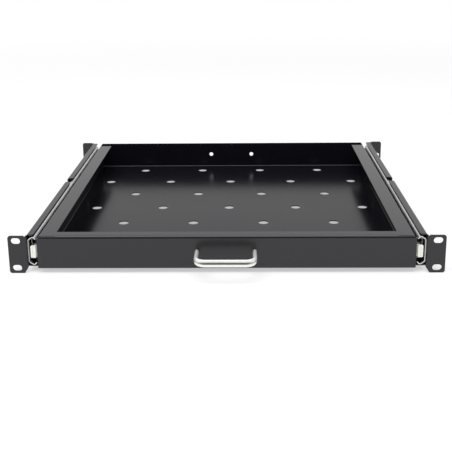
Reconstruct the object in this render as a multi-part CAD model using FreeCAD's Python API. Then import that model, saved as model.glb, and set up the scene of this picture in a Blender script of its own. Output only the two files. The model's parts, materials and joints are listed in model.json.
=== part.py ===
"""Pull-out rack shelf, 1U high: perforated tray on two three-member ball slides,
carried by a front and a rear bracket on each side. Sizes in millimetres.

Frame: origin at the centre of the front ear slot pattern, on the rear face of the
ears. +X is to the right seen from the front, +Y goes into the rack, +Z is up.
"""
import FreeCAD, Part
import math
import os

os.makedirs("parts", exist_ok=True)

# Rack standard: widths and hole pitches of a 19 inch rack, one unit high.
PANEL_W = 482.6
EAR_SLOT_MARGIN = 8.75
RACK_HOLE_PITCH = 15.875
EAR_H = 44.0
EAR_T = 1.5
EAR_R = 3.0
EAR_BEND_R = 1.0
EAR_REACH = 19.6
SLOT_W = 7.0
SLOT_L = 10.3
EAR_CHAMFER = 2.8
NOTCH_W = 1.8
NOTCH_H = 1.0

# Tray.
TRAY_D = 412.0
TRAY_H = 38.4
TRAY_BELOW_EAR = 0.6
TRAY_T = 1.2
TRAY_BEND_R = 0.9
FRONT_LIP = 12.8
SIDE_LIP = 18.0
SIDE_LIP_STOP = 16.0
HOLE_D = 13.0
HOLE_MARGIN_X = 27.5
HOLE_MARGIN_Y = 26.0
HOLE_ROWS = 7
HOLES_LONG_ROW = 5
WALL_HOLE_D = 6.0
WALL_HOLE_PITCH = 64.0
WALL_HOLE_BELOW_TOP = 17.9

# Fascia plate in front of the tray.
FASCIA_T = 1.2
FASCIA_OVER = 1.75
FASCIA_BELOW_TOP = 2.6
FASCIA_ABOVE_FOOT = 0.8
FASCIA_CORNER_R = 1.0

# Ball slides.
SLIDE_H = 33.0
SLIDE_W = 12.7
SLIDE_T = 1.0
SLIDE_SHORTER = 12.0
SLIDE_FRONT = 2.5
BALL_OUT_R = 1.75
BALL_IN_R = 1.5
RACE_CLEAR = 0.04
CAGE_T = 0.4
CAGE_ARM_DROP = 0.7
CAGE_SHOULDER = 1.6
CAGE_SHARE = 0.45
CAGE_END = 10.0
BALLS_PER_ROW = 5
POCKET_CLEAR = 0.05
MEMBER_GAP = 0.35
MIDDLE_SETBACK = 8.0
INNER_SETBACK = 3.0
BALL_SIDE_GAP = 0.7
INNER_BALL_AHEAD = 1.9
SHOULDER_ANGLE = 34.0
LIP_ANGLE = 50.0
LIP_RUN = 1.35
WINDOW_L = 22.0
WINDOW_H = 7.0
BUFFER_L = 4.0
BUMPER_T = 2.8
BUMPER_H = 13.8
BUMPER_W = 5.7

# Brackets.
BRACKET_T = 1.5
BRACKET_LIP = 8.2
BRACKET_FOOT = 12.2
BRACKET_BEND_R = 0.8
BRACKET_FIT = 0.1
BRACKET_HEAD_GAP = 1.3
BRACKET_SPLIT_AHEAD = 5.0
BRACKET_SPLIT = 17.0
LIP_START = 3.0
REAR_EAR_RIM = 2.5
ADJUST_SLOT_L = 24.0
SCREW_INSET = 36.0

# Handle.
HANDLE_PITCH = 64.0
HANDLE_REACH = 29.5
HANDLE_DROP = 0.7
HANDLE_BEND_R = 10.5
HANDLE_T = 4.8
HANDLE_H = 8.5
HANDLE_BORE = 9.0

# Screws.
SCREW_D = 3.5
SCREW_HEAD_D = 7.0
SCREW_HEAD_H = 2.0
THREAD_FIT = 0.05
HOLE_FIT = 0.2
RECESS_R = 1.9
RECESS_T = 0.7
RECESS_DEPTH = 1.1

# Worked out from the sizes above.
FASCIA_FRONT = -EAR_T
TRAY_FRONT = FASCIA_FRONT + FASCIA_T
TRAY_BACK = FASCIA_FRONT + TRAY_D
TRAY_TOP = EAR_H / 2 - TRAY_BELOW_EAR
TRAY_BOTTOM = TRAY_TOP - TRAY_H
WEB_OUT = PANEL_W / 2 - EAR_REACH
WEB_IN = WEB_OUT - BRACKET_T
TRAY_SIDE = WEB_IN - SLIDE_W
TRAY_W = 2 * TRAY_SIDE
FASCIA_SIDE = TRAY_SIDE + FASCIA_OVER
RACK_HOLE_X = PANEL_W / 2 - EAR_SLOT_MARGIN
TRAY_MIDDLE = (FASCIA_FRONT + TRAY_BACK) / 2
HOLE_PITCH_X = (TRAY_W - 2 * HOLE_MARGIN_X) / (HOLES_LONG_ROW - 1)
HOLE_PITCH_Y = (TRAY_D - 2 * HOLE_MARGIN_Y) / (HOLE_ROWS - 1)
BRACKET_H = SLIDE_H + 2 * BRACKET_T + BRACKET_FIT + BRACKET_HEAD_GAP
BRACKET_TOP = EAR_H / 2
BRACKET_BOTTOM = BRACKET_TOP - BRACKET_H
SLIDE_Z = BRACKET_BOTTOM + BRACKET_T + BRACKET_FIT + SLIDE_H / 2
SLIDE_L = TRAY_D - SLIDE_SHORTER
SLIDE_BACK = SLIDE_FRONT + SLIDE_L
MEMBER_BACK = SLIDE_BACK - BUFFER_L - 0.5
REAR_EAR_Y = TRAY_BACK + EAR_T
FRONT_BRACKET_END = REAR_EAR_Y / 2 - BRACKET_SPLIT_AHEAD
REAR_BRACKET_START = FRONT_BRACKET_END + BRACKET_SPLIT
CAGE_L = SLIDE_L * CAGE_SHARE
CAGE_START = SLIDE_FRONT + SLIDE_L / 2 - CAGE_L / 2
BALL_STEP = (CAGE_L - 2 * CAGE_END) / (BALLS_PER_ROW - 1)


def vec(x, y, z):
    return FreeCAD.Vector(x, y, z)


def strip_face(points, t, r, to_world):
    """Flat outline of a folded sheet: a centre line of points, sheet t thick, with
    every fold rounded to the inside radius r. to_world turns (a, b) into a point."""
    mid = r + t / 2
    sides = ([], [])
    count = len(points)
    runs = []
    for i in range(count - 1):
        dx = points[i + 1][0] - points[i][0]
        dy = points[i + 1][1] - points[i][1]
        length = math.hypot(dx, dy)
        runs.append((dx / length, dy / length))

    def off(p, d, s):
        return (p[0] - d[1] * s * t / 2, p[1] + d[0] * s * t / 2)

    for k, s in ((0, 1.0), (1, -1.0)):
        last = off(points[0], runs[0], s)
        for i in range(1, count - 1):
            d0 = runs[i - 1]
            d1 = runs[i]
            cross = d0[0] * d1[1] - d0[1] * d1[0]
            turn = math.atan2(cross, d0[0] * d1[0] + d0[1] * d1[1])
            back = mid * math.tan(abs(turn) / 2)
            way = 1.0 if cross > 0 else -1.0
            start = (points[i][0] - d0[0] * back, points[i][1] - d0[1] * back)
            centre = (start[0] - d0[1] * way * mid, start[1] + d0[0] * way * mid)
            rad = mid - way * s * t / 2
            a0 = math.atan2(start[1] - centre[1], start[0] - centre[0])
            arc = [(centre[0] + rad * math.cos(a0 + turn * f),
                    centre[1] + rad * math.sin(a0 + turn * f)) for f in (0, 0.5, 1)]
            sides[k].append(("line", last, arc[0]))
            sides[k].append(("arc",) + tuple(arc))
            last = arc[2]
        sides[k].append(("line", last, off(points[-1], runs[-1], s)))
    first = [sides[0][0][1], sides[1][0][1]]
    final = [sides[0][-1][-1], sides[1][-1][-1]]
    pieces = sides[0] + sides[1] + [("line", first[0], first[1]), ("line", final[0], final[1])]
    edges = []
    for piece in pieces:
        pts = [to_world(*p) for p in piece[1:]]
        if piece[0] == "line":
            edges.append(Part.makeLine(pts[0], pts[1]))
        else:
            edges.append(Part.Arc(pts[0], pts[1], pts[2]).toShape())
    wire = Part.Wire(Part.__sortEdges__(edges))
    return Part.Face(wire)


def folded(points, t, r, y0, y1):
    """Folded sheet with its outline in X and Z, running along Y."""
    face = strip_face(points, t, r, lambda a, b: vec(a, y0, b))
    return face.extrude(vec(0, y1 - y0, 0))


def plate(points, y0, y1):
    wire = Part.makePolygon([vec(x, y0, z) for x, z in points + points[:1]])
    return Part.Face(wire).extrude(vec(0, y1 - y0, 0))


def box(x0, x1, y0, y1, z0, z1):
    return Part.makeBox(x1 - x0, y1 - y0, z1 - z0, vec(x0, y0, z0))


def rod(radius, length, at, way):
    return Part.makeCylinder(radius, length, at, way)


def slot_y(x, z, length, width, y0, y1):
    """Cutter for an oblong hole along X that goes through in Y."""
    half = (length - width) / 2
    cut = box(x - half, x + half, y0, y1, z - width / 2, z + width / 2)
    ends = [rod(width / 2, y1 - y0, vec(x + s * half, y0, z), vec(0, 1, 0)) for s in (-1, 1)]
    return cut.multiFuse(ends)


def round_edges(shape, radius, wanted):
    edges = [e for e in shape.Edges if wanted(e)]
    return shape.makeFillet(radius, edges)


def edge_along(edge, axis):
    if len(edge.Vertexes) != 2:
        return False
    d = edge.Vertexes[1].Point - edge.Vertexes[0].Point
    if d.Length < 1e-6:
        return False
    return abs(getattr(d, axis)) / d.Length > 0.999


def both(shape):
    """The right-hand piece is modelled; the left one is its mirror image."""
    return {"right": shape, "left": shape.mirror(vec(0, 0, 0), vec(1, 0, 0))}


def write(name, shape):
    shape = shape.removeSplitter() if len(shape.Solids) == 1 else shape
    shape.exportStep("parts/" + name + ".step")
    print(name, len(shape.Solids), round(shape.Volume, 1), shape.isValid())


def write_pair(name, shape):
    for side, piece in both(shape).items():
        write(name + "_" + side, piece)


def pan_screw(at, way, length, head_h=SCREW_HEAD_H):
    """Cross-recess pan head screw. The head stands on the point at and the
    shank goes in the direction way."""
    base = rod(SCREW_HEAD_D / 2, head_h, vec(0, 0, 0), vec(0, 0, 1))
    base = round_edges(base, head_h * 0.6,
                       lambda e: abs(e.BoundBox.ZMin - head_h) < 1e-6
                       and abs(e.BoundBox.ZMax - head_h) < 1e-6)
    for turn in (0, 90):
        blade = Part.makeBox(2 * RECESS_R, RECESS_T, RECESS_DEPTH + 1,
                             vec(-RECESS_R, -RECESS_T / 2, head_h - RECESS_DEPTH))
        blade.rotate(vec(0, 0, 0), vec(0, 0, 1), turn + 45)
        base = base.cut(blade)
    shank = rod(SCREW_D / 2, length, vec(0, 0, -length), vec(0, 0, 1))
    screw = base.fuse(shank)
    turn = FreeCAD.Rotation(vec(0, 0, -1), way)
    screw.Placement = FreeCAD.Placement(at, turn)
    return screw


# Screw places.
FRONT_SCREW_Y = (SCREW_INSET, FRONT_BRACKET_END - SCREW_INSET)
REAR_SCREW_Y = (REAR_BRACKET_START + SCREW_INSET, REAR_EAR_Y - SCREW_INSET - ADJUST_SLOT_L / 2)
TRAY_SCREW_Y = (TRAY_D * 0.12, TRAY_D * 0.36, TRAY_D * 0.65)
HANDLE_Z = (TRAY_TOP + TRAY_BOTTOM) / 2 - HANDLE_DROP


def handle_screw_hole(s):
    """Cutter for one handle screw through the fascia and the tray's front wall."""
    return rod((SCREW_D + HOLE_FIT) / 2, 3 * (TRAY_T + FASCIA_T),
               vec(s * HANDLE_PITCH / 2, FASCIA_FRONT - FASCIA_T, HANDLE_Z), vec(0, 1, 0))


def make_fascia():
    """Flat plate over the tray's front wall, a little wider than the tray."""
    plate_shape = box(-FASCIA_SIDE, FASCIA_SIDE, FASCIA_FRONT, TRAY_FRONT,
                      TRAY_BOTTOM + FASCIA_ABOVE_FOOT, TRAY_TOP - FASCIA_BELOW_TOP)
    plate_shape = round_edges(plate_shape, FASCIA_CORNER_R, lambda e: edge_along(e, "y"))
    return plate_shape.cut(Part.makeCompound([handle_screw_hole(s) for s in (-1, 1)]))


def make_tray():
    half = TRAY_SIDE - TRAY_T / 2
    top = TRAY_TOP - TRAY_T / 2
    bottom = TRAY_BOTTOM + TRAY_T / 2
    lip = TRAY_SIDE - SIDE_LIP
    across = [(-lip, top), (-half, top), (-half, bottom), (half, bottom), (half, top), (lip, top)]
    sides = folded(across, TRAY_T, TRAY_BEND_R, TRAY_FRONT + TRAY_T / 2, TRAY_BACK - TRAY_T / 2)
    for s in (-1, 1):
        x = sorted((s * (TRAY_SIDE - TRAY_T), s * (lip - 1)))
        sides = sides.cut(box(x[0], x[1], TRAY_BACK - SIDE_LIP_STOP, TRAY_BACK + 1,
                              TRAY_TOP - TRAY_T - TRAY_BEND_R, TRAY_TOP + 1))

    front = TRAY_FRONT + TRAY_T / 2
    back = TRAY_BACK - TRAY_T / 2
    along = [(TRAY_FRONT + FRONT_LIP, top), (front, top), (front, bottom), (back, bottom),
             (back, TRAY_TOP)]
    outline = strip_face(along, TRAY_T, TRAY_BEND_R, lambda a, b: vec(-TRAY_SIDE, a, b))
    ends = outline.extrude(vec(TRAY_W, 0, 0))
    edge_r = TRAY_T + TRAY_BEND_R
    hull = box(-TRAY_SIDE, TRAY_SIDE, TRAY_FRONT - 1, TRAY_BACK + 1, TRAY_BOTTOM, TRAY_TOP)
    hull = round_edges(hull, edge_r, lambda e: edge_along(e, "y"))
    pan = sides.fuse(ends.common(hull))

    holes = []
    for row in range(HOLE_ROWS):
        count = HOLES_LONG_ROW - 1 if row % 2 == 0 else HOLES_LONG_ROW
        y = TRAY_MIDDLE + (row - (HOLE_ROWS - 1) / 2) * HOLE_PITCH_Y
        for i in range(count):
            x = (i - (count - 1) / 2) * HOLE_PITCH_X
            holes.append(rod(HOLE_D / 2, 3 * TRAY_T, vec(x, y, TRAY_BOTTOM - TRAY_T), vec(0, 0, 1)))
    for s in (-1, 1):
        holes.append(rod(WALL_HOLE_D / 2, 3 * TRAY_T,
                         vec(s * WALL_HOLE_PITCH / 2, TRAY_BACK - 2 * TRAY_T,
                             TRAY_TOP - WALL_HOLE_BELOW_TOP),
                         vec(0, 1, 0)))
        holes.append(handle_screw_hole(s))
        for y in TRAY_SCREW_Y:
            holes.append(rod((SCREW_D + HOLE_FIT) / 2, 3 * TRAY_T,
                             vec(s * (TRAY_SIDE - 2 * TRAY_T), y, SLIDE_Z), vec(s, 0, 0)))
    return pan.cut(Part.makeCompound(holes))


def make_handle():
    """Round-cornered bow of oval bar; each foot has a threaded bore."""
    face_y = FASCIA_FRONT
    half = HANDLE_PITCH / 2
    reach = face_y - HANDLE_REACH
    r = HANDLE_BEND_R
    q = r * (1 - math.cos(math.pi / 4))
    z = HANDLE_Z
    path = Part.Wire([
        Part.makeLine(vec(-half, face_y, z), vec(-half, reach + r, z)),
        Part.Arc(vec(-half, reach + r, z), vec(-half + q, reach + q, z),
                 vec(-half + r, reach, z)).toShape(),
        Part.makeLine(vec(-half + r, reach, z), vec(half - r, reach, z)),
        Part.Arc(vec(half - r, reach, z), vec(half - q, reach + q, z),
                 vec(half, reach + r, z)).toShape(),
        Part.makeLine(vec(half, reach + r, z), vec(half, face_y, z)),
    ])
    oval = Part.Ellipse(vec(-half, face_y, z + HANDLE_H / 2), vec(-half + HANDLE_T / 2, face_y, z),
                        vec(-half, face_y, z))
    section = Part.Wire([oval.toShape()])
    bow = path.makePipeShell([section], True, False)
    for s in (-1, 1):
        mouth = vec(s * half, face_y, z)
        bow = bow.cut(rod(SCREW_D / 2 + THREAD_FIT, HANDLE_BORE, mouth, vec(0, -1, 0)))
    return bow


def ear_outline(outer, y0, y1, slots):
    """Ear plate seen from the front: rounded outer corners, a chamfer under the
    bracket and a relief notch above the fold."""
    half = EAR_H / 2
    foot = BRACKET_BOTTOM
    body = plate([(WEB_IN, half), (outer, half), (outer, -half), (WEB_OUT + EAR_CHAMFER, -half),
                  (WEB_IN, foot)], y0, y1)
    body = round_edges(body, EAR_R, lambda e: edge_along(e, "y")
                       and abs(e.BoundBox.XMin - outer) < 1e-4)
    body = body.cut(box(WEB_OUT - 0.2, WEB_OUT - 0.2 + NOTCH_W, y0 - 1, y1 + 1,
                        half - NOTCH_H, half + 1))
    for cutter in slots:
        body = body.cut(cutter)
    return body


def make_channel(y0, y1):
    """Channel round the slide: the lip under it is wider than the one above."""
    x = WEB_OUT - BRACKET_T / 2
    top = BRACKET_TOP - BRACKET_T / 2
    bottom = BRACKET_BOTTOM + BRACKET_T / 2
    return folded([(WEB_OUT - BRACKET_LIP, top), (x, top), (x, bottom),
                   (WEB_OUT - BRACKET_FOOT, bottom)],
                  BRACKET_T, BRACKET_BEND_R, y0, y1)


def ear_fold(outer, edge_y, ear_y, z0, z1):
    """The fold from the bracket web into the ear, seen from above."""
    x = WEB_OUT - BRACKET_T / 2
    face = strip_face([(x, edge_y), (x, ear_y), (outer, ear_y)], BRACKET_T, EAR_BEND_R,
                      lambda a, b: vec(a, b, z0))
    return face.extrude(vec(0, 0, z1 - z0))


def round_lip_corner(shape, y, radius=2.5):
    """Rounds the free corners of both lips at the end face y."""
    return round_edges(shape, radius, lambda e: edge_along(e, "z")
                       and abs(e.BoundBox.YMin - y) < 1e-4
                       and min(abs(e.BoundBox.XMin - (WEB_OUT - width))
                               for width in (BRACKET_LIP, BRACKET_FOOT)) < 1e-4)


def make_front_bracket():
    outer = PANEL_W / 2
    half = EAR_H / 2
    channel = make_channel(LIP_START, FRONT_BRACKET_END)
    channel = round_lip_corner(channel, FRONT_BRACKET_END)
    channel = round_lip_corner(channel, LIP_START)
    fold = ear_fold(outer, LIP_START + 0.01, -EAR_T / 2, -half, half)
    slots = [slot_y(RACK_HOLE_X, s * RACK_HOLE_PITCH, SLOT_L, SLOT_W, -EAR_T - 1, 1)
             for s in (-1, 1)]
    ear = fold.common(ear_outline(outer, -EAR_T - 0.5, LIP_START + 1, slots))
    corner = BRACKET_T + BRACKET_BEND_R
    for z0, z1 in ((BRACKET_TOP - corner, half + 1), (-half - 1, BRACKET_BOTTOM + corner)):
        ear = ear.cut(box(WEB_IN - 1, WEB_OUT + 0.01, EAR_BEND_R, LIP_START + 1, z0, z1))
    body = channel.fuse(ear)
    for y in FRONT_SCREW_Y:
        body = body.cut(rod((SCREW_D + HOLE_FIT) / 2, 4, vec(WEB_IN - 1, y, SLIDE_Z), vec(1, 0, 0)))
    return body


def make_rear_bracket():
    outer = RACK_HOLE_X + SLOT_W / 2 + REAR_EAR_RIM
    half = EAR_H / 2
    lip_end = REAR_EAR_Y - LIP_START
    channel = make_channel(REAR_BRACKET_START, lip_end)
    channel = round_lip_corner(channel, REAR_BRACKET_START)
    channel = round_lip_corner(channel, lip_end)
    fold = ear_fold(outer, lip_end - 0.01, REAR_EAR_Y + EAR_T / 2, -half, half)
    holes = [rod(SLOT_W / 2, EAR_T + 2,
                 vec(RACK_HOLE_X, REAR_EAR_Y - 1, -k * RACK_HOLE_PITCH), vec(0, 1, 0))
             for k in (0, 1)]
    ear = fold.common(ear_outline(outer, lip_end - 1, REAR_EAR_Y + EAR_T + 0.5, holes))
    y1 = REAR_EAR_Y - EAR_BEND_R
    corner = BRACKET_T + BRACKET_BEND_R
    for z0, z1 in ((BRACKET_TOP - corner, half + 1), (-half - 1, BRACKET_BOTTOM + corner)):
        ear = ear.cut(box(WEB_IN - 1, WEB_OUT + 0.01, lip_end - 1, y1, z0, z1))
    body = channel.fuse(ear)
    width = SCREW_D + HOLE_FIT
    run = (ADJUST_SLOT_L - width) / 2
    for y in REAR_SCREW_Y:
        body = body.cut(box(WEB_IN - 1, WEB_OUT + 1, y - run, y + run,
                            SLIDE_Z - width / 2, SLIDE_Z + width / 2))
        for s in (-1, 1):
            body = body.cut(rod(width / 2, 4, vec(WEB_IN - 1, y + s * run, SLIDE_Z), vec(1, 0, 0)))
    return body


# Slide cross section. u runs from the bracket web towards the tray, v up from the
# middle of the slide; the lower half mirrors the upper half. Each ball row runs in the
# rounded peak of the outer member or between the flanges of the two inner ones.
OUT_RACE_R = BALL_OUT_R + RACE_CLEAR
OUT_BALL_V = SLIDE_H / 2 - SLIDE_T - OUT_RACE_R
OUT_CAGE_U = SLIDE_T + MEMBER_GAP
MID_WEB_U = OUT_CAGE_U + CAGE_T + MEMBER_GAP + 0.1
OUT_BALL_U = MID_WEB_U + SLIDE_T + BALL_SIDE_GAP + BALL_OUT_R
MID_TOP_V = OUT_BALL_V - BALL_OUT_R - RACE_CLEAR
IN_BALL_V = MID_TOP_V - SLIDE_T - RACE_CLEAR - BALL_IN_R
IN_TOP_V = IN_BALL_V - BALL_IN_R - RACE_CLEAR
IN_CAGE_U = MID_WEB_U + SLIDE_T + MEMBER_GAP
IN_BALL_U = IN_CAGE_U + CAGE_T + INNER_BALL_AHEAD + BALL_IN_R


def slide_x(u):
    return WEB_IN - u


def slide_strip(upper, t, r, y0, y1):
    """Folded member symmetric about the middle of the slide."""
    points = [(slide_x(u), SLIDE_Z - v) for u, v in reversed(upper)]
    points += [(slide_x(u), SLIDE_Z + v) for u, v in upper]
    return folded(points, t, r, y0, y1)


def make_outer():
    """The peak is folded round the ball row: the inside of the fold is the race."""
    web = SLIDE_T / 2
    shoulder = math.radians(SHOULDER_ANGLE)
    lip = math.radians(LIP_ANGLE)
    away = (OUT_RACE_R + SLIDE_T / 2) / math.cos((shoulder + lip) / 2)
    peak_u = OUT_BALL_U + away * math.sin((lip - shoulder) / 2)
    peak_v = OUT_BALL_V + away * math.cos((lip - shoulder) / 2)
    end_u = OUT_BALL_U + OUT_RACE_R + LIP_RUN
    upper = [(web, peak_v - (peak_u - web) * math.tan(shoulder)), (peak_u, peak_v),
             (end_u, peak_v - (end_u - peak_u) * math.tan(lip))]
    member = slide_strip(upper, SLIDE_T, OUT_RACE_R, SLIDE_FRONT, SLIDE_BACK)
    for y in FRONT_SCREW_Y + REAR_SCREW_Y:
        member = member.cut(rod(SCREW_D / 2 + THREAD_FIT, 3, vec(slide_x(SLIDE_T + 0.5), y, SLIDE_Z),
                                vec(1, 0, 0)))
    return member


def cut_windows(member, x, shares):
    """Oblong windows in a member's web, for reaching the screws behind it."""
    run = (WINDOW_L - WINDOW_H) / 2
    for share in shares:
        y = SLIDE_FRONT + share * SLIDE_L
        cut = box(x, x + 2 * SLIDE_T, y - run, y + run, SLIDE_Z - WINDOW_H / 2, SLIDE_Z + WINDOW_H / 2)
        ends = [rod(WINDOW_H / 2, 2 * SLIDE_T, vec(x, y + s * run, SLIDE_Z), vec(1, 0, 0))
                for s in (-1, 1)]
        member = member.cut(cut.multiFuse(ends))
    return member


def make_middle():
    web = MID_WEB_U + SLIDE_T / 2
    flat = MID_TOP_V - SLIDE_T / 2
    rise_u = OUT_BALL_U + BALL_OUT_R + 0.6
    upper = [(web, flat), (rise_u, flat), (rise_u + 1.2, flat + 0.85)]
    member = slide_strip(upper, SLIDE_T, 0.5, SLIDE_FRONT + MIDDLE_SETBACK, MEMBER_BACK)
    return cut_windows(member, slide_x(MID_WEB_U + SLIDE_T + 0.5), (0.1, 0.5, 0.9))


def make_inner():
    web = SLIDE_W - SLIDE_T / 2
    flat = IN_TOP_V - SLIDE_T / 2
    upper = [(web, flat), (IN_BALL_U - 1.0, flat), (IN_BALL_U - 1.65, flat + 0.65)]
    member = slide_strip(upper, SLIDE_T, 0.4, SLIDE_FRONT + INNER_SETBACK, MEMBER_BACK)
    for y in TRAY_SCREW_Y:
        member = member.cut(rod(SCREW_D / 2 + THREAD_FIT, 3, vec(TRAY_SIDE - 1, y, SLIDE_Z),
                                vec(1, 0, 0)))
    return cut_windows(member, TRAY_SIDE - 0.5, (0.24, 0.5, 0.9))


def ball_places():
    return [CAGE_START + CAGE_END + i * BALL_STEP for i in range(BALLS_PER_ROW)]


def make_cage(upper, ball_u, ball_v, ball_r):
    cage = slide_strip(upper, CAGE_T, 0.3, CAGE_START, CAGE_START + CAGE_L)
    pockets = []
    for y in ball_places():
        for s in (-1, 1):
            at = vec(slide_x(ball_u), y, SLIDE_Z + s * ball_v - ball_r)
            pockets.append(rod(ball_r + POCKET_CLEAR, 2 * ball_r, at, vec(0, 0, 1)))
    return cage.cut(Part.makeCompound(pockets))


def make_balls(ball_u, ball_v, ball_r):
    balls = []
    for y in ball_places():
        for s in (-1, 1):
            balls.append(Part.makeSphere(ball_r, vec(slide_x(ball_u), y, SLIDE_Z + s * ball_v)))
    return Part.makeCompound(balls)


def make_bumper():
    """White plastic end cap of the inner member: a grooved face pad, and a plug that
    fills the open end of the member."""
    front = SLIDE_FRONT - 0.2
    u1 = SLIDE_W - 2 * SLIDE_T - BALL_IN_R
    u0 = u1 - BUMPER_W
    v = BUMPER_H / 2
    pad = box(slide_x(u1), slide_x(u0), front - BUMPER_T, front, SLIDE_Z - v, SLIDE_Z + v)
    pad = round_edges(pad, 1.0, lambda e: edge_along(e, "y"))
    mid = (slide_x(u0) + slide_x(u1)) / 2
    groove = box(mid - 0.9, mid + 0.9, front - BUMPER_T - 0.4, front - BUMPER_T + 0.4,
                 SLIDE_Z - v + 1.2, SLIDE_Z + v - 1.2)
    plug_v = IN_TOP_V - SLIDE_T - 0.4
    plug = box(slide_x(SLIDE_W - SLIDE_T), slide_x(IN_BALL_U - 1.2), front - 0.5, front + 12.0,
               SLIDE_Z - plug_v, SLIDE_Z + plug_v)
    return pad.fuse(plug).cut(groove)


def make_buffer():
    """Stop block that closes the rear end of the outer member."""
    v = MID_TOP_V - 0.3
    face_x = slide_x(SLIDE_W - 1.7)
    block = box(face_x, slide_x(SLIDE_T + 0.05), SLIDE_BACK - BUFFER_L, SLIDE_BACK,
                SLIDE_Z - v, SLIDE_Z + v)
    return round_edges(block, 1.2, lambda e: edge_along(e, "y")
                       and abs(e.BoundBox.XMin - face_x) < 1e-4)


def screws(places, x, way, length, head_h=SCREW_HEAD_H):
    return Part.makeCompound([pan_screw(vec(x, y, SLIDE_Z), vec(way, 0, 0), length, head_h)
                              for y in places])


write("tray_pan", make_tray())
write("front_fascia", make_fascia())
write("pull_handle", make_handle())
write("handle_screws", Part.makeCompound([
    pan_screw(vec(s * HANDLE_PITCH / 2, TRAY_FRONT + TRAY_T, HANDLE_Z), vec(0, -1, 0),
              TRAY_T + FASCIA_T + HANDLE_BORE - 2.2)
    for s in (-1, 1)]))
write_pair("front_bracket", make_front_bracket())
write_pair("rear_bracket", make_rear_bracket())
write_pair("slide_outer", make_outer())
write_pair("slide_middle", make_middle())
write_pair("slide_inner", make_inner())

arm_v = OUT_BALL_V - CAGE_ARM_DROP
out_arm = [(OUT_CAGE_U + CAGE_T / 2, arm_v - CAGE_SHOULDER), (OUT_BALL_U - BALL_OUT_R, arm_v),
           (OUT_BALL_U + BALL_OUT_R + 0.5, arm_v)]
in_arm = [(IN_CAGE_U + CAGE_T / 2, IN_BALL_V), (IN_BALL_U + 2.0, IN_BALL_V)]
write_pair("ball_cage_outer", make_cage(out_arm, OUT_BALL_U, OUT_BALL_V, BALL_OUT_R))
write_pair("ball_cage_inner", make_cage(in_arm, IN_BALL_U, IN_BALL_V, BALL_IN_R))
write_pair("balls_outer", make_balls(OUT_BALL_U, OUT_BALL_V, BALL_OUT_R))
write_pair("balls_inner", make_balls(IN_BALL_U, IN_BALL_V, BALL_IN_R))
write_pair("front_bumper", make_bumper())
write_pair("rear_buffer", make_buffer())
web_depth = BRACKET_T + SLIDE_T - 0.05
write_pair("front_bracket_screws", screws(FRONT_SCREW_Y, WEB_OUT, -1, web_depth))
write_pair("rear_bracket_screws", screws(REAR_SCREW_Y, WEB_OUT, -1, web_depth))
write_pair("tray_screws", screws(TRAY_SCREW_Y, TRAY_SIDE - TRAY_T, 1, TRAY_T + SLIDE_T + 0.6, 1.6))
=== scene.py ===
"""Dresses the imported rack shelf: finishes for its nodes, camera, light and floor.

Lengths are in metres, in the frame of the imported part: +X to the right seen from the
front, +Y into the rack, +Z up.
"""
import json
import math
import bpy
from bpy.props import FloatProperty, FloatVectorProperty, PointerProperty
from mathutils import Matrix, Vector


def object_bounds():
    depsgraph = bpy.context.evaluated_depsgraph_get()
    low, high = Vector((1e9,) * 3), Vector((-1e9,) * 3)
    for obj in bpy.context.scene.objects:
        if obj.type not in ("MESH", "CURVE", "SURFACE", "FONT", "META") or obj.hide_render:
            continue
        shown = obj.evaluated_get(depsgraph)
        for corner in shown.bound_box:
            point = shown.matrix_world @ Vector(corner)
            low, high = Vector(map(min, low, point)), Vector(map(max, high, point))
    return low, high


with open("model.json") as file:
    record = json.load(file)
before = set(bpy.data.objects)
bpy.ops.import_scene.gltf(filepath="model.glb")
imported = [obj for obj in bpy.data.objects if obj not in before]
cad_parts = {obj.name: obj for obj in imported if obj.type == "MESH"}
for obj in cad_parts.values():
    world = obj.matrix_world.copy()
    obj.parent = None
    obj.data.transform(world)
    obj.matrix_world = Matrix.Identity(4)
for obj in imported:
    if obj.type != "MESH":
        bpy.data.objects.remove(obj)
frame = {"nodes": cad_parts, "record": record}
CAD_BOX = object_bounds()
NODES = frame["nodes"]
COLOURS = {m["slot"]: tuple(m["base_color"][:3]) for m in frame["record"]["materials"]}
SLOT_OF = {s["node"]: s["material_slot"] for s in frame["record"]["subparts"]}
MOUNT_PLACES = {m["name"]: m["pos_m"] for m in frame["record"]["mounts"]}
FLOOR_TOP = MOUNT_PLACES["tray_floor"][2]
LIP_TOP = max(corner[2] for corner in NODES["tray_pan"].bound_box)

bl_info = {
    "name": "Rack Shelf Dressing",
    "version": (1, 0, 0),
    "blender": (4, 5, 0),
    "location": "3D View > Sidebar > Rack Shelf",
    "description": "Gives the sliding rack shelf its finishes, floor, light and camera",
    "category": "Object",
}


# Shader tree helpers

class Value:
    """A socket that carries a number. Sums and products of it add Math nodes."""

    def __init__(self, tree, socket):
        self.tree = tree
        self.socket = socket

    def math(self, operation, *others):
        return calculate(self.tree, operation, self, *others)

    def __add__(self, other):
        return calculate(self.tree, "ADD", self, other)

    def __radd__(self, other):
        return calculate(self.tree, "ADD", other, self)

    def __sub__(self, other):
        return calculate(self.tree, "SUBTRACT", self, other)

    def __rsub__(self, other):
        return calculate(self.tree, "SUBTRACT", other, self)

    def __mul__(self, other):
        return calculate(self.tree, "MULTIPLY", self, other)

    def __rmul__(self, other):
        return calculate(self.tree, "MULTIPLY", other, self)


def calculate(tree, operation, *values):
    """Adds a Math node that works on these values."""
    node = tree.nodes.new("ShaderNodeMath")
    node.operation = operation
    for socket, value in zip(node.inputs, values):
        connect(tree, socket, value)
    return Value(tree, node.outputs[0])


def connect(tree, socket, value):
    """Links a Value or a plain socket, or sets the socket's own default."""
    if isinstance(value, Value):
        tree.links.new(value.socket, socket)
    elif isinstance(value, bpy.types.NodeSocket):
        tree.links.new(value, socket)
    elif socket.type == "RGBA" and len(value) == 3:
        socket.default_value = (*value, 1.0)
    else:
        socket.default_value = value


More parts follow.
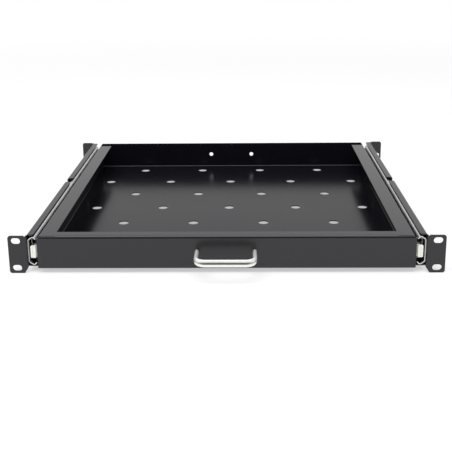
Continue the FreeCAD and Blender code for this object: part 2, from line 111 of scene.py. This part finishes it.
class Finish:
    """A material with one Principled shader and the nodes that feed it."""

    def __init__(self, name):
        self.material = bpy.data.materials.new(name)
        self.material.use_nodes = True
        self.tree = self.material.node_tree
        self.tree.nodes.clear()
        self.place = self.node("ShaderNodeTexCoord", out="Object")

    def node(self, kind, settings=None, sockets=None, out=0):
        """Adds a node: its settings first, then the values or links of its sockets."""
        node = self.tree.nodes.new(kind)
        for name, value in (settings or {}).items():
            setattr(node, name, value)
        for name, value in (sockets or {}).items():
            connect(self.tree, node.inputs[name], value)
        return node.outputs[out]

    def noise(self, scale, detail=2.0, rough=0.5, stretch=None, warp=0.0):
        """Noise from 0 to 1 with about that many features per metre."""
        at = self.place
        if stretch:
            at = self.node("ShaderNodeMapping", {"vector_type": "POINT"},
                           {"Vector": at, "Scale": stretch}, "Vector")
        return Value(self.tree, self.node(
            "ShaderNodeTexNoise", {"noise_dimensions": "3D"},
            {"Vector": at, "Scale": scale, "Detail": detail, "Roughness": rough,
             "Distortion": warp}, "Fac"))

    def along(self, axis):
        """Place along an axis of the frame, in metres."""
        return Value(self.tree, self.node("ShaderNodeSeparateXYZ", None,
                                          {"Vector": self.place}, axis))

    def facing(self, axis):
        """How far the surface faces the axis's positive end, from -1 to 1."""
        normal = self.node("ShaderNodeNewGeometry", out="Normal")
        return Value(self.tree, self.node("ShaderNodeSeparateXYZ", None,
                                          {"Vector": normal}, axis))

    def spots(self, scale):
        """Distance to the nearest of many scattered points, about 0 to 1."""
        return Value(self.tree, self.node(
            "ShaderNodeTexVoronoi", {"feature": "F1"},
            {"Vector": self.place, "Scale": scale}, "Distance"))

    def band(self, value, low, high):
        """0 below low, 1 above high, smooth between."""
        return Value(self.tree, self.node(
            "ShaderNodeMapRange", {"interpolation_type": "SMOOTHSTEP"},
            {"Value": value, "From Min": low, "From Max": high}, "Result"))

    def blend(self, share, first, second):
        """Mixes two colours. Their sockets go by number, as the node's names repeat."""
        return self.node("ShaderNodeMix", {"data_type": "RGBA"},
                         {0: share, 6: first, 7: second}, 2)

    def edges(self, radius):
        """The normal with edges rounded by that radius, and how near an edge is."""
        soft = self.node("ShaderNodeBevel", {"samples": 6}, {"Radius": radius}, "Normal")
        flat = self.node("ShaderNodeNewGeometry", out="Normal")
        along = self.node("ShaderNodeVectorMath", {"operation": "DOT_PRODUCT"},
                          {0: soft, 1: flat}, "Value")
        return soft, self.band(1.0 - Value(self.tree, along), 0.02, 0.25)

    def bump(self, height, strength, distance, normal=None):
        """The normal, tilted by a height from 0 to 1 that stands for that distance."""
        sockets = {"Height": height, "Strength": strength, "Distance": distance}
        if normal is not None:
            sockets["Normal"] = normal
        return self.node("ShaderNodeBump", None, sockets, "Normal")

    def surface(self, **sockets):
        """The Principled shader; a name's underscores stand for spaces."""
        named = {k.replace("_", " "): v for k, v in sockets.items()}
        shader = self.node("ShaderNodeBsdfPrincipled", None, named, "BSDF")
        self.close(shader)
        return self.material

    def close(self, shader):
        """Leads a shader to the material's output."""
        output = self.tree.nodes.new("ShaderNodeOutputMaterial")
        self.tree.links.new(shader, output.inputs["Surface"])


def lighter(colour, factor):
    """The colour times a factor, which may also be under 1, cut off at white."""
    return tuple(min(1.0, c * factor) for c in colour)


def wear(material, names):
    """Puts a material on CAD nodes."""
    for name in names:
        mesh = NODES[name].data
        mesh.materials.clear()
        mesh.materials.append(material)


def nodes_with(slot):
    """Names of the CAD nodes that the record gives that material slot."""
    return [name for name in NODES if SLOT_OF[name] == slot]


# Finishes

def powder_coat(name, colour, rough, floor_top=None, lip_top=None):
    """Satin black powder coat: fine orange peel, faint mottling, thin on edges. With the
    two heights given, the coat is smooth and thin on the floor, thick and shiny on the
    lips, dull on the side walls between them, with a painted highlight on the tray's bends."""
    f = Finish(name)
    peel = f.noise(650.0, 2.0)
    grain = f.noise(2600.0, 2.0, 0.6)
    broad = f.noise(11.0, 3.0, 0.55)
    dust = f.band(f.spots(210.0), 0.10, 0.03)
    normal, edge = f.edges(0.00035)
    shade = broad * 0.55 + grain * 0.45
    cool = (colour[0], colour[1], colour[2] * 1.35)
    base = f.blend(shade, lighter(cool, 0.15), lighter(cool, 0.4))
    base = f.blend(edge * 0.3, base, lighter(colour, 2.2))
    base = f.blend(dust * 0.08, base, lighter(colour, 3.0))
    gloss = rough + (broad - 0.5) * 0.06 + (grain - 0.5) * 0.10
    height = peel * 0.7 + grain * 0.3
    shine = {}
    if floor_top is not None:
        floor = f.band(f.along("Z"), floor_top + 0.002, floor_top)
        lip = f.band(f.along("Z"), lip_top - 0.004, lip_top - 0.002)
        side = f.band(f.facing("X").math("ABSOLUTE"), 0.1, 0.4)
        wall = side * (1.0 - floor) * (1.0 - lip)
        up = f.facing("Z")
        # Painted highlight: faces that slope between flat and upright, away from the side walls,
        # get a paler base colour that stands for the light above mirrored in the tray's bends.
        painted_bend_highlight = f.band(up, 0.2, 0.5) * f.band(up, 0.98, 0.85) * (1.0 - side)
        base = f.blend(painted_bend_highlight, base, lighter(colour, 4.0))
        gloss = gloss - floor * 0.06 + wall * 0.35
        height = height * (1.0 - floor * 0.6)
        shine = {"Specular_IOR_Level": 0.2, "Coat_Weight": lip * 0.35,
                 "Coat_Roughness": rough}
    return f.surface(Base_Color=base, Roughness=gloss, **shine,
                     Normal=f.bump(height, 0.22, 0.00012, normal))


def rolled_zinc(name, colour, rough):
    """Cold-rolled strip with bright zinc: streaks along the slide, faint bloom."""
    f = Finish(name)
    streak = f.noise(1.0, 3.0, 0.6, stretch=(1500.0, 14.0, 1500.0))
    fine = f.noise(1.0, 2.0, 0.5, stretch=(5200.0, 70.0, 5200.0))
    bloom = f.noise(38.0, 4.0, 0.6)
    spangle = f.spots(900.0)
    normal, edge = f.edges(0.0002)
    tone = streak * 0.45 + bloom * 0.35 + fine * 0.2
    cool = (colour[0] * 0.93, colour[1] * 0.96, colour[2] * 1.03)
    base = f.blend(f.band(tone, 0.32, 0.68), lighter(cool, 0.86), lighter(colour, 1.12))
    base = f.blend(edge * 0.3, base, lighter(colour, 1.2))
    gloss = rough + (streak - 0.5) * 0.16 + (bloom - 0.5) * 0.12 + spangle * 0.03
    height = streak * 0.5 + fine * 0.5
    return f.surface(Base_Color=base, Metallic=1.0, Roughness=gloss,
                     Normal=f.bump(height, 0.12, 0.00006, normal))


def satin_plate(name, colour, rough, reflection_line_height):
    """Pearly plated bar: fine polishing lines, a little haze, and a painted dark reflection
    line where the upper and the lower face meet, which fades on the way round the bends."""
    f = Finish(name)
    lines = f.noise(1.0, 2.0, 0.5, stretch=(2600.0, 2600.0, 90.0))
    haze = f.noise(95.0, 3.0, 0.6)
    smudge = f.band(f.noise(24.0, 2.0, 0.5, warp=0.6), 0.52, 0.74)
    # Painted reflection: a near-black line along the bar's middle, weaker round the bends,
    # stands for the dark half of the studio mirrored in the bar.
    painted_reflection_line = f.band((f.along("Z") - reflection_line_height).math("ABSOLUTE"), 0.0015, 0.0006)
    painted_reflection_line = painted_reflection_line * (1.0 - f.band(f.along("X").math("ABSOLUTE"), 0.022, 0.033) * 0.55)
    warm = (colour[0] * 1.04, colour[1] * 1.03, colour[2] * 0.98)
    base = f.blend(haze, lighter(warm, 0.97), lighter(warm, 1.03))
    base = f.blend(painted_reflection_line, base, lighter(colour, 0.06))
    gloss = rough + (haze - 0.5) * 0.04 + smudge * 0.05
    return f.surface(Base_Color=base, Metallic=0.42, Roughness=gloss,
                     Normal=f.bump(lines, 0.3, 0.0001))


def bearing_steel(name, colour, rough):
    """Ground and polished balls with a thin film of grease."""
    f = Finish(name)
    film = f.noise(700.0, 3.0, 0.6)
    base = f.blend(f.band(film, 0.45, 0.7), colour,
                   (colour[0] * 0.86, colour[1] * 0.8, colour[2] * 0.66))
    gloss = rough + film * 0.12
    return f.surface(Base_Color=base, Metallic=1.0, Roughness=gloss,
                     Normal=f.bump(film, 0.05, 0.00002))


def moulded_plastic(name, colour, rough, grain_depth):
    """Moulded plastic with a fine spark-eroded grain and slightly dull edges."""
    f = Finish(name)
    grain = f.noise(3400.0, 3.0, 0.6)
    flow = f.noise(130.0, 3.0, 0.6, warp=0.8)
    normal, edge = f.edges(0.0003)
    base = f.blend(flow * 0.6 + grain * 0.4, lighter(colour, 0.9), lighter(colour, 1.07))
    base = f.blend(edge * 0.25, base, lighter(colour, 1.12))
    gloss = rough + (grain - 0.5) * 0.2 + (flow - 0.5) * 0.1
    return f.surface(Base_Color=base, Roughness=gloss,
                     Normal=f.bump(grain, grain_depth, 0.00008, normal))


def plated_screw(name, colour, rough, metal):
    """Small cold-headed screw: mottled plating that is rubbed bright on its edges."""
    f = Finish(name)
    mottle = f.noise(1500.0, 3.0, 0.6)
    broad = f.noise(260.0, 2.0, 0.5)
    normal, edge = f.edges(0.00015)
    base = f.blend(f.band(mottle, 0.3, 0.7), lighter(colour, 0.75), lighter(colour, 1.2))
    base = f.blend(edge * 0.5, base, lighter(colour, 1.7))
    gloss = rough + (mottle - 0.5) * 0.2 + (broad - 0.5) * 0.1
    return f.surface(Base_Color=base, Metallic=metal, Roughness=gloss,
                     Normal=f.bump(mottle, 0.15, 0.00005, normal))


# Settings

def colour_setting(label, text, slot):
    """A colour that starts as the record's base colour of a material slot."""
    return FloatVectorProperty(name=label, description=text, subtype="COLOR", size=3,
                               min=0.0, max=1.0, default=COLOURS[slot])


def share_setting(label, text, value):
    """A number from 0 to 1."""
    return FloatProperty(name=label, description=text, subtype="FACTOR",
                         min=0.0, max=1.0, default=value)


def height_setting(label, text, value):
    """A height in the frame, in metres."""
    return FloatProperty(name=label, description=text, subtype="DISTANCE", unit="LENGTH",
                         default=value)


class ShelfFinishes(bpy.types.PropertyGroup):
    """Colours and gloss of the shelf's finishes."""
    tray: colour_setting("Tray", "Powder coat of the tray", "tray_paint")
    bracket: colour_setting("Brackets", "Powder coat of the brackets", "bracket_paint")
    steel: colour_setting("Slides", "Zinc-plated slide members", "slide_steel")
    cage: colour_setting("Cages", "Strip steel of the ball cages", "cage_steel")
    ball: colour_setting("Balls", "Bearing balls", "ball_steel")
    chrome: colour_setting("Handle", "Satin plate of the handle", "handle_chrome")
    bumper: colour_setting("Bumpers", "White plastic of the front bumpers", "bumper_plastic")
    buffer: colour_setting("Stops", "Black plastic of the rear stops", "buffer_plastic")
    black_screw: colour_setting("Black screws", "Screws in the brackets", "screw_black")
    zinc_screw: colour_setting("Zinc screws", "Screws in the tray", "screw_zinc")
    paint_rough: share_setting("Paint roughness", "Gloss of the powder coat", 0.27)
    floor_top: height_setting("Tray floor", "Height of the tray's floor", FLOOR_TOP)
    lip_top: height_setting("Tray lips", "Height of the top of the tray's lips", LIP_TOP)
    steel_rough: share_setting("Steel roughness", "Gloss of the slide members", 0.27)
    chrome_rough: share_setting("Handle roughness", "Gloss of the handle", 0.25)
    # Height of the painted dark reflection line along the handle's bar.
    handle_reflection_line: height_setting("Handle seam", "Height of the handle's seam", 0.0021)


class ShelfStage(bpy.types.PropertyGroup):
    """Camera, light and floor."""
    eye: FloatVectorProperty(name="Camera place", description="Where the camera stands",
                             subtype="TRANSLATION", unit="LENGTH", size=3,
                             default=(0.02134, -0.82080, 0.33594))
    tilt: FloatProperty(name="Tilt", description="How far the camera looks down",
                        subtype="ANGLE", default=0.25875)
    turn: FloatProperty(name="Turn", description="How far the camera turns to the right",
                        subtype="ANGLE", default=-0.02421)
    roll: FloatProperty(name="Roll", description="Turn of the camera about its own axis",
                        subtype="ANGLE", default=-0.01109)
    focal_px: FloatProperty(name="Focal length", description="In pixels of the photo's width",
                            default=796.0, min=100.0)
    frame_px: FloatProperty(name="Frame", description="Width and height of the photo in pixels",
                            default=452.0, min=1.0)
    axis_row: FloatProperty(name="Axis row", default=150.0,
                            description="Row where the camera's axis meets the photo")
    sky: share_setting("Sky", "Strength of the even light from all sides", 0.62)
    sky_mirrored: share_setting("Sky in gloss", "Strength of the sky that gloss mirrors", 0.85)
    lamp_w: FloatProperty(name="Lamp", description="Power of the soft lamp above",
                          subtype="POWER", default=54.0, min=0.0)
    strip_w: FloatProperty(name="Strip lamp", description="Power of the lamp that edges mirror",
                           subtype="POWER", default=7.0, min=0.0)
    floor_glow: share_setting("Floor glow", "Share of the floor that is plain white", 0.5)
    floor_mirrored: FloatProperty(name="Floor in gloss", default=1.35, min=0.0,
                                  description="Level of the plain white that gloss mirrors")


# Pieces

class SHELF_OT_coat_sheet_metal(bpy.types.Operator):
    """Gives the tray and the brackets their powder coat"""
    bl_idname = "shelf.coat_sheet_metal"
    bl_label = "Coat tray and brackets"

    def execute(self, context):
        s = context.scene.shelf_finishes
        wear(powder_coat("tray_powder_coat", s.tray, s.paint_rough, s.floor_top,
                         s.lip_top), ["tray_pan"])
        wear(powder_coat("fascia_powder_coat", s.tray, s.paint_rough), ["front_fascia"])
        wear(powder_coat("bracket_powder_coat", s.bracket, s.paint_rough),
             nodes_with("bracket_paint"))
        return {"FINISHED"}


class SHELF_OT_plate_slides(bpy.types.Operator):
    """Gives the slide members and ball cages their rolled steel"""
    bl_idname = "shelf.plate_slides"
    bl_label = "Plate slides and cages"

    def execute(self, context):
        s = context.scene.shelf_finishes
        outer = [name for name in nodes_with("slide_steel") if "outer" in name]
        running = [name for name in nodes_with("slide_steel") if "outer" not in name]
        wear(rolled_zinc("slide_zinc", s.steel, s.steel_rough), outer)
        # The middle and inner members are darkened to under half the zinc's colour: partly
        # grease, partly painted shade for the shadow they run in.
        wear(rolled_zinc("slide_greased_and_shaded", lighter(s.steel, 0.45), s.steel_rough + 0.14), running)
        wear(rolled_zinc("cage_strip", s.cage, s.steel_rough + 0.08), nodes_with("cage_steel"))
        wear(bearing_steel("ball_polish", s.ball, 0.08), nodes_with("ball_steel"))
        return {"FINISHED"}


class SHELF_OT_plate_handle(bpy.types.Operator):
    """Gives the pull handle its satin plate"""
    bl_idname = "shelf.plate_handle"
    bl_label = "Plate handle"

    def execute(self, context):
        s = context.scene.shelf_finishes
        wear(satin_plate("handle_plate", s.chrome, s.chrome_rough, s.handle_reflection_line),
             nodes_with("handle_chrome"))
        return {"FINISHED"}


class SHELF_OT_mould_stops(bpy.types.Operator):
    """Gives the front bumpers and the rear stops their plastic"""
    bl_idname = "shelf.mould_stops"
    bl_label = "Mould bumpers and stops"

    def execute(self, context):
        s = context.scene.shelf_finishes
        wear(moulded_plastic("bumper_white", s.bumper, 0.42, 0.12), nodes_with("bumper_plastic"))
        wear(moulded_plastic("stop_black", s.buffer, 0.5, 0.25), nodes_with("buffer_plastic"))
        return {"FINISHED"}


class SHELF_OT_plate_screws(bpy.types.Operator):
    """Gives the black and the zinc screws their plating"""
    bl_idname = "shelf.plate_screws"
    bl_label = "Plate screws"

    def execute(self, context):
        s = context.scene.shelf_finishes
        wear(plated_screw("screw_black_oxide", s.black_screw, 0.4, 0.0),
             nodes_with("screw_black"))
        wear(plated_screw("screw_bright_zinc", s.zinc_screw, 0.3, 1.0),
             nodes_with("screw_zinc"))
        return {"FINISHED"}


# Stage

FLOOR_SIZE = 14.0
WHITE_FROM, WHITE_BEYOND = 0.8, 2.4
SOFTBOX_PLACE, SOFTBOX_SIZE = (-0.5, -0.7, 2.6), (2.4, 2.4)
STRIP_PLACE, STRIP_SIZE = (0.0, -0.35, 1.9), (2.6, 0.5)
SCREEN_PLACE, SCREEN_SIZE = (0.0, -1.6, 0.475), (3.2, 0.85)
SENSOR_WIDTH = 36.0
CLIP_START, CLIP_END = 0.01, 60.0


def ray_kinds(tree):
    """Two values: 1 for camera and transmission rays, and 1 for glossy rays."""
    path = tree.nodes.new("ShaderNodeLightPath")
    camera = Value(tree, path.outputs["Is Camera Ray"])
    through = Value(tree, path.outputs["Is Transmission Ray"])
    return camera.math("MAXIMUM", through), Value(tree, path.outputs["Is Glossy Ray"])


def make_sky(scene, even, mirrored):
    """White sky that lights evenly; gloss mirrors it at a level of its own."""
    world = bpy.data.worlds.new("studio_sky")
    world.use_nodes = True
    tree = world.node_tree
    back = tree.nodes["Background"]
    back.inputs["Color"].default_value = (1.0, 1.0, 1.0, 1.0)
    seen, glossy = ray_kinds(tree)
    level = seen * (1.0 - even) + glossy * (mirrored - even) + even
    tree.links.new(level.socket, back.inputs["Strength"])
    scene.world = world


def make_floor(height, glow, mirrored):
    """White floor. A share of it is plain white so that it stays pale round the shadow,
    and far from the shelf all of it is. Gloss mirrors that share at its own level."""
    bpy.ops.mesh.primitive_plane_add(size=FLOOR_SIZE, location=(0.0, 0.0, height))
    floor = bpy.context.object
    floor.name = "floor"
    f = Finish("floor_white")
    speck = f.noise(40.0, 2.0)
    matt = f.node("ShaderNodeBsdfDiffuse", None,
                  {"Color": f.blend(speck, (0.955, 0.955, 0.955), (0.965, 0.965, 0.965))},
                  "BSDF")
    seen, glossy = ray_kinds(f.tree)
    light = f.node("ShaderNodeEmission", None,
                   {"Color": f.blend(glossy, (1.0, 1.0, 1.0), (mirrored,) * 3),
                    "Strength": 1.0}, "Emission")
    reach = f.node("ShaderNodeVectorMath", {"operation": "LENGTH"}, {0: f.place}, "Value")
    far = f.band(Value(f.tree, reach), WHITE_FROM, WHITE_BEYOND)
    share = seen.math("MAXIMUM", glossy) * (glow + far * (1.0 - glow))
    f.close(f.node("ShaderNodeMixShader", None, {0: share, 1: matt, 2: light}))
    floor.data.materials.append(f.material)


def make_lamp(name, place, target, size, power):
    """A rectangular area lamp that faces the target."""
    light = bpy.data.lights.new(name, "AREA")
    light.shape = "RECTANGLE"
    light.size, light.size_y = size
    light.energy = power
    lamp = bpy.data.objects.new(name, light)
    bpy.context.scene.collection.objects.link(lamp)
    lamp.location = place
    lamp.rotation_euler = (Vector(target) - Vector(place)).to_track_quat("-Z", "Y").to_euler()
    return lamp


def make_dark_screen():
    """The unlit half of the studio in front of the shelf, which only gloss shows."""
    bpy.ops.mesh.primitive_plane_add(size=1.0, rotation=(math.pi / 2, 0.0, 0.0),
                                     location=SCREEN_PLACE)
    screen = bpy.context.object
    screen.name = "dark_screen"
    screen.scale = (*SCREEN_SIZE, 1.0)
    for kind in ("camera", "diffuse", "shadow", "transmission"):
        setattr(screen, "visible_" + kind, False)
    f = Finish("studio_dark")
    weave = f.noise(25.0, 2.0)
    tone = f.blend(weave, (0.02, 0.02, 0.02), (0.03, 0.03, 0.03))
    screen.data.materials.append(f.surface(Base_Color=tone, Roughness=0.9))


def make_camera(scene, s):
    """The photo's camera. Its upright shift puts the camera's axis on the axis row."""
    data = bpy.data.cameras.new("photo_camera")
    data.sensor_width = SENSOR_WIDTH
    data.lens = s.focal_px / s.frame_px * data.sensor_width
    data.shift_y = (s.axis_row - s.frame_px / 2) / s.frame_px
    data.clip_start, data.clip_end = CLIP_START, CLIP_END
    camera = bpy.data.objects.new("photo_camera", data)
    scene.collection.objects.link(camera)
    turn = Matrix.Rotation(-s.turn, 4, "Z") @ Matrix.Rotation(math.pi / 2 - s.tilt, 4, "X")
    camera.matrix_world = (Matrix.Translation(s.eye) @ turn
                           @ Matrix.Rotation(s.roll, 4, "Z"))
    scene.camera = camera


class SHELF_OT_set_stage(bpy.types.Operator):
    """Sets the floor, the light and the photo's camera"""
    bl_idname = "shelf.set_stage"
    bl_label = "Set stage"

    def execute(self, context):
        s = context.scene.shelf_stage
        low, high = CAD_BOX
        middle = (low + high) / 2
        make_sky(context.scene, s.sky, s.sky_mirrored)
        make_floor(low.z, s.floor_glow, s.floor_mirrored)
        soft = make_lamp("top_softbox", SOFTBOX_PLACE, middle, SOFTBOX_SIZE, s.lamp_w)
        soft.visible_glossy = False
        make_lamp("strip_lamp", STRIP_PLACE, middle, STRIP_SIZE, s.strip_w)
        make_dark_screen()
        make_camera(context.scene, s)
        context.scene.view_settings.view_transform = "Standard"
        return {"FINISHED"}


class SHELF_PT_dressing(bpy.types.Panel):
    """Lists the shelf's pieces and settings in the sidebar"""
    bl_idname = "SHELF_PT_dressing"
    bl_label = "Rack shelf"
    bl_space_type = "VIEW_3D"
    bl_region_type = "UI"
    bl_category = "Rack Shelf"

    def draw(self, context):
        for step in STEPS:
            self.layout.operator(step.bl_idname)
        for group in (context.scene.shelf_finishes, context.scene.shelf_stage):
            box = self.layout.box()
            for name in group.__annotations__:
                box.prop(group, name)


STEPS = (SHELF_OT_coat_sheet_metal, SHELF_OT_plate_slides, SHELF_OT_plate_handle,
         SHELF_OT_mould_stops, SHELF_OT_plate_screws, SHELF_OT_set_stage)
CLASSES = (ShelfFinishes, ShelfStage) + STEPS + (SHELF_PT_dressing,)


def register():
    """Adds the classes and the scene's two groups of settings."""
    for cls in CLASSES:
        bpy.utils.register_class(cls)
    bpy.types.Scene.shelf_finishes = PointerProperty(type=ShelfFinishes)
    bpy.types.Scene.shelf_stage = PointerProperty(type=ShelfStage)


def unregister():
    """Takes the settings and the classes away again."""
    del bpy.types.Scene.shelf_stage
    del bpy.types.Scene.shelf_finishes
    for cls in reversed(CLASSES):
        bpy.utils.unregister_class(cls)


def main():
    """Registers the add-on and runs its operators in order."""
    register()
    for step in STEPS:
        group, name = step.bl_idname.split(".")
        getattr(getattr(bpy.ops, group), name)()


if __name__ == "__main__":
    main()
